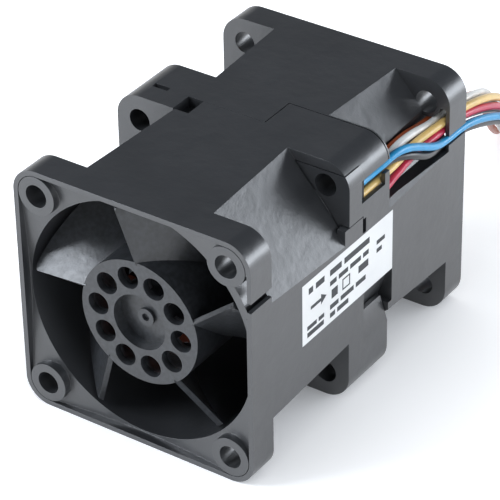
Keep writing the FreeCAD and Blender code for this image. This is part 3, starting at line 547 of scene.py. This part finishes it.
class Finish(Enum):
    """The real finishes of the fan's parts."""

    # PBT with a third of glass fibre, moulded: satin, with pale flecks where fibres reach the skin.
    FRAME = FilledPlastic(
        name="glass_filled_black_plastic",
        dark="#292A2C",
        light="#313234",
        fleck="#0E0E0F",
        rough=(0.26, 0.42),
        specular=0.9,
        cloud_mm=11.0,
        cloud_ends=(0.32, 0.7),
        gloss_mm=3.0,
        gloss_layers=5.0,
        grain_mm=0.22,
        grain_layers=2.0,
        sink_mm=2.0,
    )
    # The same plastic in thin walls, where the fibres show as a fine mottle; its colour is lighter than the
    # frame's as painted fill light in the duct.
    IMPELLER = FilledPlastic(
        name="black_impeller_plastic",
        dark="#28292B",
        light="#383A3D",
        rough=(0.24, 0.42),
        specular=0.55,
        cloud_mm=0.7,
        cloud_ends=(0.38, 0.68),
        gloss_mm=1.1,
        gloss_layers=4.0,
        grain_mm=0.3,
        grain_layers=3.0,
        sink_mm=1.3,
    )
    # Printed polyester film: matte white, a little uneven from the wall under it.
    LABEL = MouldedPlastic("white_label_film", "#E4E3E1", "#F0EFEC", (0.42, 0.54), 0.5, 0.004)
    # Thermal print: thin, flat and dark grey.
    INK = MouldedPlastic("grey_label_ink", "#222427", "#303236", (0.45, 0.55), 0.15, 0.001, 1.0)
    # Moulded rubber: dull, so it takes no highlight.
    RUBBER = MouldedPlastic("black_guide_rubber", "#141415", "#1D1D1F", (0.62, 0.8), 0.3, 0.008)
    # Moulded nylon: smooth and half glossy.
    CONNECTOR = MouldedPlastic("black_connector_nylon", "#1B1B1D", "#242427", (0.36, 0.5), 0.3, 0.005, 4.0)
    # Ground bearing steel: nearly a mirror, with fine rings.
    STEEL = WorkedMetal("turned_bearing_steel", "#B9BCC0", (0.16, 0.32), 0.12)
    # Drawn steel sheet, plated: soft reflections.
    YOKE = WorkedMetal("plated_yoke_steel", "#A3A6AA", (0.3, 0.5), 0.5)
    # Ferrite in a plastic binder: dark and matte.
    MAGNET = MouldedPlastic("plastic_bonded_ferrite", "#2B2726", "#3A3533", (0.5, 0.7), 0.2, 0.006, 2.0)
    # Punched core sheet: the edges of the sheets show as lines.
    LAMINATION = WorkedMetal("stacked_core_sheet", "#8A8C90", (0.35, 0.6), 0.35)
    # Moulded nylon, red and satin, its colour darkened further as painted shade inside the hub.
    INSULATOR = MouldedPlastic("red_insulator_moulding", "#3F120F", "#501713", (0.38, 0.5), 0.3, 0.005, 3.0)
    # Enamelled copper: red-brown, darkened further as painted shade inside the hub, with the turns as fine
    # ridges.
    COPPER = WorkedMetal("enamelled_copper_wire", "#4E2417", (0.34, 0.5), 0.25)
    # Green solder mask over copper: half glossy and cloudy.
    BOARD = MouldedPlastic("green_solder_mask", "#0F4A2A", "#1B6A3F", (0.25, 0.4), 0.8, 0.01, 2.0)
    # Moulded epoxy of a chip: matte and nearly black.
    CHIP = MouldedPlastic("black_chip_epoxy", "#17171A", "#222226", (0.5, 0.65), 0.12, 0.004, 2.0)
    # Turned brass: bright, with tool rings.
    BRASS = WorkedMetal("turned_brass", "#C39A4A", (0.2, 0.36), 0.2)
    # Extruded insulation of the leads inside the frames: smooth and grey.
    BOARD_LEAD = MouldedPlastic("grey_inner_insulation", "#4F5256", "#5C5F64", (0.34, 0.45), 0.4, 0.004, 3.0)


class Finishes:
    """Makes each finish once and hands its material out."""

    def __init__(self) -> None:
        """Make every finish."""
        self.made = {finish: finish.value.make() for finish in Finish}

    def __getitem__(self, finish: Finish) -> bpy.types.Material:
        """Give the material of a finish."""
        return self.made[finish]


class Side(Enum):
    """The two halves of the fan, by the end of the airflow that they stand at."""

    FRONT = "front"
    REAR = "rear"


@dataclass(frozen=True)
class Lead:
    """One lead wire: its colour, the half whose connector it enters and its route in millimetres."""

    name: str
    colour: str
    half: Side
    route_mm: tuple[tuple[float, float, float], ...]

    @property
    def node(self) -> str:
        """Name of its CAD node."""
        return f"lead_{self.name}"

    @property
    def connector(self) -> str:
        """Name of its connector's CAD node."""
        return f"{self.half.value}_connector"


LEADS = (
    Lead(
        "blue",
        "#2599CF",
        Side.FRONT,
        (
            (18.73, 1.2, 34.7), (18.73, 3.2, 34.7), (19.25, 5.8, 35.3), (19.6, 8.8, 35.9),
            (19.8, 12.0, 35.3), (19.9, 15.6, 33.6), (19.95, 19.0, 31.8), (19.5, 22.4, 30.6),
            (19.5, 28.6, 30.6), (19.5, 35.0, 28.7), (19.3, 42.0, 25.3), (18.6, 50.0, 19.6),
            (17.6, 57.0, 12.9), (16.5, 63.5, 6.2), (15.3, 71.0, 1.2), (14.2, 80.0, 0.7),
            (13.5, 86.0, 2.2), (13.5, 92.0, 2.2),
        ),
    ),
    Lead(
        "black",
        "#1D1D20",
        Side.FRONT,
        (
            (17.4, 1.2, 33.25), (17.4, 3.8, 33.25), (17.95, 6.8, 33.65), (18.6, 9.8, 34.3),
            (19.7, 13.0, 33.5), (19.75, 16.6, 31.4), (19.2, 19.8, 30.1), (18.6, 22.8, 29.5),
            (18.65, 28.6, 29.35), (18.6, 35.0, 27.4), (18.2, 42.0, 24.2), (17.2, 50.0, 18.9),
            (15.9, 57.0, 12.5), (14.6, 63.5, 6.0), (13.2, 71.0, 1.2), (12.2, 80.0, 0.7),
            (11.5, 86.0, 2.2), (11.5, 92.0, 2.2),
        ),
    ),
    Lead(
        "yellow",
        "#EBC579",
        Side.FRONT,
        (
            (18.65, 1.2, 32.6), (18.65, 3.8, 32.6), (18.6, 7.2, 32.65), (18.5, 11.0, 32.65),
            (18.25, 15.4, 33.2), (18.5, 19.8, 33.3), (18.7, 24.0, 33.15), (18.7, 28.6, 33.0),
            (18.4, 35.0, 31.4), (17.4, 42.0, 28.25), (15.2, 50.0, 22.0), (13.2, 57.0, 14.5),
            (11.4, 63.8, 7.0), (9.7, 71.4, 1.4), (8.3, 80.0, 0.7), (7.5, 86.0, 2.2),
            (7.5, 92.0, 2.2),
        ),
    ),
    Lead(
        "red",
        "#C4304E",
        Side.FRONT,
        (
            (18.65, 1.2, 29.4), (18.65, 4.0, 29.4), (18.55, 7.8, 30.0), (18.45, 12.0, 31.0),
            (18.4, 16.4, 31.8), (18.65, 20.6, 31.9), (18.65, 24.4, 31.9), (18.65, 28.6, 31.75),
            (18.5, 35.0, 30.0), (17.9, 42.0, 26.7), (16.35, 50.0, 20.7), (14.6, 57.0, 13.6),
            (13.0, 63.6, 6.6), (11.4, 71.2, 1.3), (10.3, 80.0, 0.7), (9.5, 86.0, 2.2),
            (9.5, 92.0, 2.2),
        ),
    ),
    Lead(
        "grey",
        "#6E7176",
        Side.REAR,
        (
            (17.4, 1.2, 30.3), (17.4, 4.0, 30.3), (17.4, 7.2, 30.35), (17.3, 10.4, 30.7),
            (17.15, 13.6, 31.4), (17.2, 17.2, 31.2), (17.4, 21.0, 30.9), (17.4, 24.8, 30.8),
            (17.4, 28.6, 30.6), (17.2, 35.0, 28.85), (16.5, 42.0, 25.75), (14.2, 50.0, 20.2),
            (11.8, 57.0, 13.4), (9.6, 63.6, 6.6), (7.5, 71.2, 1.3), (5.2, 80.0, 0.7),
            (4.0, 86.0, 2.2), (4.0, 92.0, 2.2),
        ),
    ),
    Lead(
        "silver",
        "#C9C7C4",
        Side.REAR,
        (
            (18.65, 1.2, 31.0), (18.65, 3.8, 31.0), (18.2, 6.8, 31.4), (17.4, 9.8, 31.9),
            (17.05, 13.4, 32.75), (17.1, 17.4, 32.6), (17.4, 21.4, 32.1), (17.4, 25.0, 32.0),
            (17.4, 28.6, 31.85), (17.0, 35.0, 30.2), (15.8, 42.0, 27.0), (13.0, 50.0, 21.0),
            (10.2, 57.0, 14.0), (7.7, 63.8, 6.9), (5.4, 71.4, 1.4), (3.2, 80.0, 0.7),
            (2.0, 86.0, 2.2), (2.0, 92.0, 2.2),
        ),
    ),
    Lead(
        "white",
        "#EFECE6",
        Side.REAR,
        (
            (17.4, 1.2, 32.0), (17.4, 4.2, 32.0), (17.3, 7.0, 32.5), (17.15, 9.8, 33.2),
            (17.1, 13.6, 34.1), (17.15, 17.8, 33.9), (17.4, 21.6, 33.3), (17.4, 25.0, 33.2),
            (17.4, 28.6, 33.1), (16.8, 35.0, 31.6), (15.2, 42.0, 28.4), (11.9, 50.0, 21.8),
            (8.8, 57.0, 14.5), (6.1, 64.0, 7.2), (3.6, 71.6, 1.5), (1.3, 80.0, 0.7),
            (0.0, 86.0, 2.2), (0.0, 92.0, 2.2),
        ),
    ),
    Lead(
        "brown",
        "#B9572C",
        Side.REAR,
        (
            (16.15, 1.2, 32.7), (16.15, 4.6, 32.7), (16.0, 8.6, 32.5), (15.95, 12.8, 33.2),
            (15.95, 17.2, 33.4), (16.1, 21.4, 32.8), (16.15, 25.0, 32.7), (16.15, 28.6, 32.55),
            (15.6, 35.0, 30.8), (13.7, 42.0, 27.5), (10.3, 50.0, 21.4), (7.1, 57.0, 14.2),
            (4.3, 63.8, 7.0), (1.6, 71.4, 1.4), (-0.8, 80.0, 0.7), (-2.0, 86.0, 2.2),
            (-2.0, 92.0, 2.2),
        ),
    ),
)
LEAD_DIAMETER = 1.2 * MM


@dataclass(frozen=True)
class LeadLoom:
    """The eight lead wires with the rubber guide they leave and the two connectors they enter."""

    leads: tuple[Lead, ...] = LEADS
    curve_order: int = 3
    steps_per_point: int = 8
    rings: int = 5

    def build(self, nodes: dict[str, bpy.types.Object], finishes: Finishes) -> Pieces:
        """Lay the wires and dress the pieces at their ends.

        Args:
            nodes: The CAD nodes by name.
            finishes: The finishes.

        Returns:
            The pieces.
        """
        wires = [self._lay(lead) for lead in self.leads]
        guide = nodes["lead_guide"]
        dress(guide, finishes[Finish.RUBBER])
        connectors = [nodes[f"{side.value}_connector"] for side in Side]
        for connector in connectors:
            dress(connector, finishes[Finish.CONNECTOR])
        return [*wires, guide, *connectors]

    def _lay(self, lead: Lead) -> bpy.types.Object:
        """Lay one lead wire as a smooth curve on its route.

        Args:
            lead: The lead wire.

        Returns:
            The curve object.
        """
        data = bpy.data.curves.new(f"{lead.name}_lead_wire", "CURVE")
        data.dimensions = "3D"
        spline = data.splines.new("NURBS")
        spline.points.add(len(lead.route_mm) - 1)
        for point, (x, y, z) in zip(spline.points, lead.route_mm):
            point.co = (x * MM, y * MM, z * MM, 1.0)
            point.radius = LEAD_DIAMETER / 2
        spline.order_u = self.curve_order
        spline.use_endpoint_u = True
        spline.resolution_u = self.steps_per_point
        data.bevel_depth = 1.0
        data.bevel_resolution = self.rings
        data.use_fill_caps = True
        wire = bpy.data.objects.new(data.name, data)
        bpy.context.scene.collection.objects.link(wire)
        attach(wire, "housing")
        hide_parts(lead.node)
        dress(wire, WireInsulation(f"{lead.name}_wire_insulation", lead.colour).make())
        return wire


MOTOR_FINISHES = {
    "yoke": Finish.YOKE,
    "magnet": Finish.MAGNET,
    "stator_core": Finish.LAMINATION,
    "insulators": Finish.INSULATOR,
    "windings": Finish.COPPER,
    "circuit_board": Finish.BOARD,
    "board_parts": Finish.CHIP,
    "board_leads": Finish.BOARD_LEAD,
    "bearing_tube": Finish.BRASS,
    "outer_races": Finish.STEEL,
    "inner_races": Finish.STEEL,
    "balls": Finish.STEEL,
    "shaft": Finish.STEEL,
    "retaining_ring": Finish.STEEL,
    "preload_spring": Finish.STEEL,
}


@dataclass(frozen=True)
class FanHalf:
    """One half of the fan: its frame, its impeller and the motor between them."""

    side: Side
    frame_edge_mm: float = 0.14
    impeller_edge_mm: float = 0.18
    edge_segments: int = 2
    edge_angle_deg: float = 28.0
    merge_mm: float = 0.0005
    flat_deg: float = 0.5
    area_weight: int = 100

    def build(self, nodes: dict[str, bpy.types.Object], finishes: Finishes) -> Pieces:
        """Mould the frame and the impeller and dress the motor.

        Args:
            nodes: The CAD nodes by name.
            finishes: The finishes.

        Returns:
            The pieces.
        """
        frame = self._moulded_copy(f"{self.side.value}_frame", self.frame_edge_mm)
        dress(frame, finishes[Finish.FRAME])
        impeller = self._moulded_copy(f"{self.side.value}_impeller", self.impeller_edge_mm)
        dress(impeller, finishes[Finish.IMPELLER])
        motor = [nodes[f"{self.side.value}_{part}"] for part in MOTOR_FINISHES]
        for piece, finish in zip(motor, MOTOR_FINISHES.values()):
            dress(piece, finishes[finish])
        return [frame, impeller, *motor]

    def _moulded_copy(self, node: str, edge_mm: float) -> bpy.types.Object:
        """Copy a CAD node's mesh, join its triangles into faces and round its sharp edges a little.

        Args:
            node: The CAD node.
            edge_mm: Width of the rounding.

        Returns:
            The copy, which replaces the node.
        """
        source = bpy.data.objects[node]
        mesh = source.data.copy()
        mesh.name = f"{node}_moulded"
        piece = bpy.data.objects.new(mesh.name, mesh)
        bpy.context.scene.collection.objects.link(piece)
        self._join_triangles(piece)
        bevel = piece.modifiers.new("edges", "BEVEL")
        bevel.width = edge_mm * MM
        bevel.segments = self.edge_segments
        bevel.limit_method = "ANGLE"
        bevel.angle_limit = math.radians(self.edge_angle_deg)
        bevel.use_clamp_overlap = True
        shading = piece.modifiers.new("flat_faces", "WEIGHTED_NORMAL")
        shading.mode = "FACE_AREA"
        shading.weight = self.area_weight
        for modifier in (bevel, shading):
            bpy.ops.object.modifier_apply(modifier=modifier.name)
        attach(piece, source["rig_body"])
        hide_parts(node)
        return piece

    def _join_triangles(self, piece: bpy.types.Object) -> None:
        """Merge a mesh's doubled corners and turn its flat runs of triangles into single faces.

        Args:
            piece: The mesh's object.
        """
        select_only(piece)
        bpy.ops.object.mode_set(mode="EDIT")
        bpy.ops.mesh.select_all(action="SELECT")
        bpy.ops.mesh.remove_doubles(threshold=self.merge_mm * MM)
        flat = math.radians(self.flat_deg)
        bpy.ops.mesh.dissolve_limited(angle_limit=flat, use_dissolve_boundaries=False, delimit=set())
        bpy.ops.object.mode_set(mode="OBJECT")
        bpy.ops.object.shade_smooth()


@dataclass(frozen=True)
class Bar:
    """One printed bar, in millimetres from the label's front lower corner."""

    start: float
    base: float
    length: float
    height: float


@dataclass(frozen=True)
class BarRow:
    """A row of printed bars with gaps between them, in millimetres from the label's front lower corner."""

    start: float
    base: float
    height: float
    lengths: tuple[float, ...]
    gap_share: float = 0.7

    def bars(self) -> list[Bar]:
        """Space the bars.

        Returns:
            The bars, from front to rear.
        """
        bars, start = [], self.start
        for length in self.lengths:
            bars.append(Bar(start, self.base, length, self.height))
            start += length + self.height * self.gap_share
        return bars


@dataclass(frozen=True)
class OpenBox:
    """An open rectangle of four bars, in millimetres from the label's front lower corner."""

    start: float
    base: float
    length: float
    height: float
    line: float

    def bars(self) -> list[Bar]:
        """Lay out the four sides.

        Returns:
            The bars: below, above, in front and behind.
        """
        inside = self.height - 2 * self.line
        return [
            Bar(self.start, self.base, self.length, self.line),
            Bar(self.start, self.base + self.height - self.line, self.length, self.line),
            Bar(self.start, self.base + self.line, self.line, inside),
            Bar(self.start + self.length - self.line, self.base + self.line, self.line, inside),
        ]


@dataclass(frozen=True)
class Label:
    """The label's film and its generic print: an airflow arrow, an open box and rows of grey bars."""

    node: str = "label"
    ink_mm: float = 0.012
    rows: tuple[BarRow, ...] = (
        BarRow(7.0, 7.9, 1.0, (3.0, 6.6)),
        BarRow(7.0, 6.2, 0.8, (1.7, 2.4, 2.8, 1.5)),
        BarRow(7.4, 3.9, 1.5, (1.6,)),
        BarRow(14.4, 4.2, 1.2, (2.6,)),
        BarRow(7.0, 2.2, 0.8, (2.2, 3.4, 2.6)),
        BarRow(7.0, 0.8, 0.8, (1.3, 2.9)),
        BarRow(1.2, 2.0, 0.7, (2.4, 1.4)),
        BarRow(1.2, 0.8, 0.8, (4.2,)),
        BarRow(1.6, 7.9, 1.0, (1.1, 2.2)),
        BarRow(19.2, 6.4, 0.7, (2.2,)),
        BarRow(19.2, 5.0, 0.7, (1.4,)),
    )
    box: OpenBox = OpenBox(10.2, 3.7, 2.0, 1.9, 0.25)
    arrow_shaft: Bar = Bar(2.1, 5.1, 2.6, 0.55)
    arrow_head: Bar = Bar(4.7, 4.5, 1.4, 1.75)
    arrow_tip: float = 5.38

    def build(self, nodes: dict[str, bpy.types.Object], finishes: Finishes) -> Pieces:
        """Dress the film and print it.

        Args:
            nodes: The CAD nodes by name.
            finishes: The finishes.

        Returns:
            The film and the print.
        """
        film = nodes[self.node]
        dress(film, finishes[Finish.LABEL])
        bars = [bar for group in (*self.rows, self.box) for bar in group.bars()]
        patches = [self._patch(bar) for bar in (*bars, self.arrow_shaft)]
        patches.append(self._arrow_head())
        ink = self._thicken(patches)
        dress(ink, finishes[Finish.INK])
        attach(ink, "housing")
        return [film, ink]

    def _place(self, across_mm: float, up_mm: float) -> Vector:
        """Turn a place on the label into a point on its face.

        Args:
            across_mm: Distance from the label's front edge.
            up_mm: Distance from its lower edge.

        Returns:
            The point.
        """
        low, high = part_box(self.node)
        return Vector((high.x, low.y + across_mm * MM, low.z + up_mm * MM))

    def _patch(self, bar: Bar) -> bpy.types.Object:
        """Lay one flat patch on the label's face, facing outwards.

        Args:
            bar: Its place and size.

        Returns:
            The patch, with its place in its mesh.
        """
        middle = self._place(bar.start + bar.length / 2, bar.base + bar.height / 2)
        bpy.ops.object.select_all(action="DESELECT")
        bpy.ops.mesh.primitive_plane_add(size=MM, location=middle, rotation=(0.0, math.pi / 2, 0.0))
        patch = bpy.context.object
        patch.scale = (bar.height, bar.length, 1.0)
        bpy.ops.object.transform_apply(location=True, rotation=True, scale=True)
        return patch

    def _arrow_head(self) -> bpy.types.Object:
        """Cut the arrow's head from a patch, along two lines to its tip.

        Returns:
            The head.
        """
        head = self.arrow_head
        patch = self._patch(head)
        tip = self._place(head.start + head.length, self.arrow_tip)
        bpy.ops.object.mode_set(mode="EDIT")
        for corner_mm, outward in ((head.base, -1.0), (head.base + head.height, 1.0)):
            corner = self._place(head.start, corner_mm)
            edge = tip - corner
            across = Vector((0.0, -edge.z, edge.y)) * outward
            bpy.ops.mesh.select_all(action="SELECT")
            bpy.ops.mesh.bisect(plane_co=corner, plane_no=across, clear_outer=True, threshold=MM * MM)
        bpy.ops.object.mode_set(mode="OBJECT")
        return patch

    def _thicken(self, patches: Pieces) -> bpy.types.Object:
        """Join the patches, give them the ink's thickness and open them underneath.

        Args:
            patches: The flat patches.

        Returns:
            The print.
        """
        ink = patches[0]
        select_only(ink)
        for patch in patches:
            patch.select_set(True)
        bpy.ops.object.join()
        ink.name = ink.data.name = "label_print"
        middle = ink.data.vertices[0].co.x + self.ink_mm * MM / 2
        bpy.context.tool_settings.mesh_select_mode = (False, False, True)
        bpy.ops.object.mode_set(mode="EDIT")
        bpy.ops.mesh.select_all(action="SELECT")
        rise = {"value": (self.ink_mm * MM, 0.0, 0.0)}
        bpy.ops.mesh.extrude_region_move(TRANSFORM_OT_translate=rise)
        bpy.ops.object.mode_set(mode="OBJECT")
        for face in ink.data.polygons:
            face.select = all(ink.data.vertices[k].co.x < middle for k in face.vertices)
        bpy.ops.object.mode_set(mode="EDIT")
        bpy.ops.mesh.delete(type="ONLY_FACE")
        bpy.ops.object.mode_set(mode="OBJECT")
        return ink


@dataclass(frozen=True)
class SoftBox:
    """One soft box: where it stands, how large it is and how bright its face looks."""

    name: str
    azimuth_deg: float
    elevation_deg: float
    width: float
    height: float
    radiance: float
    distance: float = 0.95
    aim: tuple[float, float, float] = (0.0, 0.0, 0.02)
    colour: str = "#E9F0F9"

    def place(self) -> bpy.types.Object:
        """Add the lamp, turned to the fan.

        Returns:
            The lamp object.
        """
        azimuth, elevation = math.radians(self.azimuth_deg), math.radians(self.elevation_deg)
        level = math.cos(elevation)
        way = Vector((math.cos(azimuth) * level, math.sin(azimuth) * level, math.sin(elevation)))
        data = bpy.data.lights.new(self.name, "AREA")
        data.shape = "RECTANGLE"
        data.size, data.size_y = self.width, self.height
        data.energy = self.radiance * math.pi * self.width * self.height
        data.color = linear(self.colour)[:3]
        lamp = bpy.data.objects.new(self.name, data)
        bpy.context.scene.collection.objects.link(lamp)
        lamp.location = Vector(self.aim) + way * self.distance
        lamp.rotation_euler = (-way).to_track_quat("-Z", "Y").to_euler()
        return lamp


@dataclass(frozen=True)
class Stage:
    """The white paper under the fan, the room around it and the soft boxes.

    The photograph's upper faces are dark and its upright faces bright: low boxes stand at the front left
    and the back right, the paper mirrors in the upright faces, and the room above is dim.
    """

    boxes: tuple[SoftBox, ...] = (
        SoftBox("BackRightBox", 48.0, 4.0, 0.7, 0.5, 7.0),
        SoftBox("FrontLeftBox", 232.0, 1.0, 0.6, 0.36, 9.0),
        SoftBox("HighLeftBox", 221.0, 38.0, 0.42, 0.4, 13.0),
        SoftBox("RightFill", -10.0, 22.0, 0.8, 0.6, 2.6),
    )
    paper: StudioPaper = StudioPaper()
    paper_size: float = 8.0
    horizon: str = "#FFFFFF"
    ceiling: str = "#666B72"
    horizon_end: float = 0.06
    ceiling_start: float = 0.4

    def build(self) -> Pieces:
        """Build the whole stage.

        Returns:
            The floor and the lamps.
        """
        floor = self._floor()
        self._surround()
        return [floor, *(soft_box.place() for soft_box in self.boxes)]

    def _floor(self) -> bpy.types.Object:
        """Lay the paper.

        Returns:
            The floor.
        """
        bpy.ops.mesh.primitive_plane_add(size=self.paper_size, location=(0, 0, 0))
        floor = bpy.context.object
        floor.name = "StudioFloor"
        dress(floor, self.paper.make())
        return floor

    def _surround(self) -> None:
        """Make a room that is white near the horizon, behind the paper's edge, and dim above."""
        world = bpy.data.worlds.new("StudioSurround")
        bpy.context.scene.world = world
        graph = Graph(world, "Background")
        height = graph.add("SeparateXYZ", {0: graph.coords["Generated"]})
        ends = [(self.horizon_end, linear(self.horizon)), (self.ceiling_start, linear(self.ceiling))]
        fall = graph.add("ValToRGB", {"Fac": height.outputs["Z"]}, ends)
        graph.feed(graph.surface, {"Color": fall.outputs["Color"], "Strength": 1.0})


def main() -> None:
    """Build the scene and report each piece."""
    logging.basicConfig(level=logging.INFO, format="%(name)s: %(message)s")
    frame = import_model()
    CameraFit().place()
    finishes = Finishes()
    for assembly in (LeadLoom(), FanHalf(Side.FRONT), FanHalf(Side.REAR), Label()):
        for piece in assembly.build(frame["nodes"], finishes):
            LOG.info("%s: %s in %s", type(assembly).__name__, piece.name, piece.active_material.name)
    for piece in Stage().build():
        LOG.info("Stage: %s", piece.name)
    bpy.context.scene.view_settings.view_transform = "Standard"


if __name__ == "__main__":
    main()
